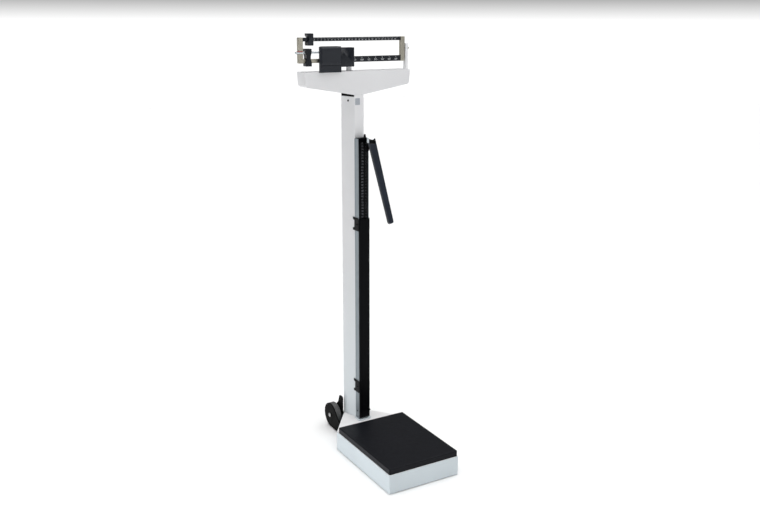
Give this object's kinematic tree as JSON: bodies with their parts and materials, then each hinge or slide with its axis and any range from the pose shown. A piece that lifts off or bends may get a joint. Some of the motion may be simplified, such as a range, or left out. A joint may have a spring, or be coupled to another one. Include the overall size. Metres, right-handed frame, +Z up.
{
  "type": "physician beam scale",
  "caption": "Mechanical beam scale for people: low platform, slim column, height rod with folding head arm, sliding poises on a balance beam, and rear wheels.",
  "frame": {"origin": "on the floor, under the middle of the bounding box", "axes": "+Z up, +X to the right of the person who reads the beam, +Y from the platform towards the column"},
  "size_m": [0.4264, 0.581, 1.426],
  "materials": {
    "white_enamel": "baked white enamel with a fine orange peel",
    "grey_enamel": "pale blue-grey enamel with a fine orange peel",
    "foot_rubber": "matt moulded rubber",
    "mat_rubber": "fine-grained black rubber with a soft sheen",
    "cast_iron": "rough casting, primed dark",
    "steel": "plain turned and rolled steel",
    "nickel_plate": "satin nickel plate, slightly warm",
    "black_enamel": "glossy black enamel",
    "aluminium_rod": "satin extruded aluminium, drawn lengthwise",
    "black_rod": "satin black with fine moulded texture",
    "bracket_black": "black powder coat",
    "wheel_plastic": "moulded black plastic",
    "wheel_tyre": "dark grey rubber tread"
  },
  "bodies": {
    "stand": {"column_shell": "white_enamel", "column_back_cover": "white_enamel", "column_lid": "white_enamel", "cap_housing": "white_enamel", "cap_back_cover": "white_enamel", "trig_loop": "white_enamel", "base_shell": "grey_enamel", "rod_foot": "grey_enamel", "foot_front_left": "foot_rubber", "foot_front_right": "foot_rubber", "foot_rear_left": "foot_rubber", "foot_rear_right": "foot_rubber", "foot_neck": "foot_rubber", "platform_mat": "mat_rubber", "platform_plate": "cast_iron", "lever_post_front_left": "cast_iron", "lever_post_front_right": "cast_iron", "lever_post_rear_left": "cast_iron", "lever_post_rear_right": "cast_iron", "cap_sleeve": "steel", "fulcrum_stand": "steel", "fulcrum_bearing": "steel", "wheel_axle": "steel", "column_screw_left": "steel", "column_screw_right": "steel", "axle_cap_left": "nickel_plate", "axle_cap_right": "nickel_plate", "rod_channel": "aluminium_rod", "rod_cover": "black_rod", "rod_clip_lower": "black_rod", "rod_clip_upper": "black_rod", "wheel_bracket_left": "bracket_black", "wheel_bracket_right": "bracket_black"},
    "beam": {"beam_upper_bar": "black_enamel", "beam_lower_bar": "black_enamel", "beam_tail_bar": "nickel_plate", "beam_bracket_left": "nickel_plate", "beam_bracket_right": "nickel_plate", "balance_rod": "steel", "balance_rod_lug": "nickel_plate", "fulcrum_knife": "steel", "load_knife": "steel", "beam_pointer": "nickel_plate"},
    "large_poise_body": {"large_poise": "black_enamel"},
    "small_poise_body": {"small_poise": "black_enamel"},
    "balance_weight_body": {"balance_weight": "black_enamel"},
    "steelyard": {"steelyard_rod": "steel", "steelyard_hook": "steel"},
    "long_lever_body": {"long_lever": "cast_iron"},
    "short_lever_body": {"short_lever": "cast_iron"},
    "height_rod_inner": {"height_slider": "black_rod", "slider_head": "black_rod", "slider_stop": "black_rod", "hinge_pin": "steel"},
    "headpiece": {"headpiece_arm": "black_rod"},
    "wheel_left": {"wheel_hub_left": "wheel_plastic", "tyre_left": "wheel_tyre"},
    "wheel_right": {"wheel_hub_right": "wheel_plastic", "tyre_right": "wheel_tyre"}
  },
  "joints": [
    {"name": "beam_tilt", "type": "hinge", "parent": "stand", "child": "beam", "pos_m": [-0.01125, 0.1495, 1.344], "axis": [0, 1, 0], "range_deg": [-1.2, 1.2]},
    {"name": "large_poise_slide", "type": "slide", "parent": "beam", "child": "large_poise_body", "axis": [1, 0, 0], "range_m": [0, 0.18]},
    {"name": "small_poise_slide", "type": "slide", "parent": "beam", "child": "small_poise_body", "axis": [1, 0, 0], "range_m": [0, 0.325]},
    {"name": "balance_weight_slide", "type": "slide", "parent": "beam", "child": "balance_weight_body", "axis": [1, 0, 0], "range_m": [-0.006, 0.024]},
    {"name": "steelyard_lift", "type": "slide", "parent": "stand", "child": "steelyard", "axis": [0, 0, 1], "range_m": [-0.00053, 0.00053]},
    {"name": "long_lever_tilt", "type": "hinge", "parent": "stand", "child": "long_lever_body", "pos_m": [0.01575, -0.2605, 0.033], "axis": [1, 0, 0], "range_deg": [-0.0705, 0.0705]},
    {"name": "short_lever_tilt", "type": "hinge", "parent": "stand", "child": "short_lever_body", "pos_m": [0.01575, 0.0395, 0.02], "axis": [-1, 0, 0], "range_deg": [-0.0668, 0.0668]},
    {"name": "height_rod_slide", "type": "slide", "parent": "stand", "child": "height_rod_inner", "axis": [0, 0, 1], "range_m": [0, 0.86]},
    {"name": "headpiece_fold", "type": "hinge", "parent": "height_rod_inner", "child": "headpiece", "pos_m": [0.02375, 0.0705, 1.08], "axis": [-1, 0, 0], "range_deg": [-26.5, 63.5]},
    {"name": "wheel_left_spin", "type": "hinge", "parent": "stand", "child": "wheel_left", "pos_m": [-0.03975, 0.2455, 0.049], "axis": [1, 0, 0], "continuous": true},
    {"name": "wheel_right_spin", "type": "hinge", "parent": "stand", "child": "wheel_right", "pos_m": [0.07125, 0.2455, 0.049], "axis": [1, 0, 0], "continuous": true}
  ],
  "couplings": [
    {"joint": "steelyard_lift", "follows": "beam_tilt", "m_per_rad": 0.025},
    {"joint": "long_lever_tilt", "follows": "beam_tilt", "ratio": 0.058},
    {"joint": "short_lever_tilt", "follows": "beam_tilt", "ratio": 0.055}
  ]
}
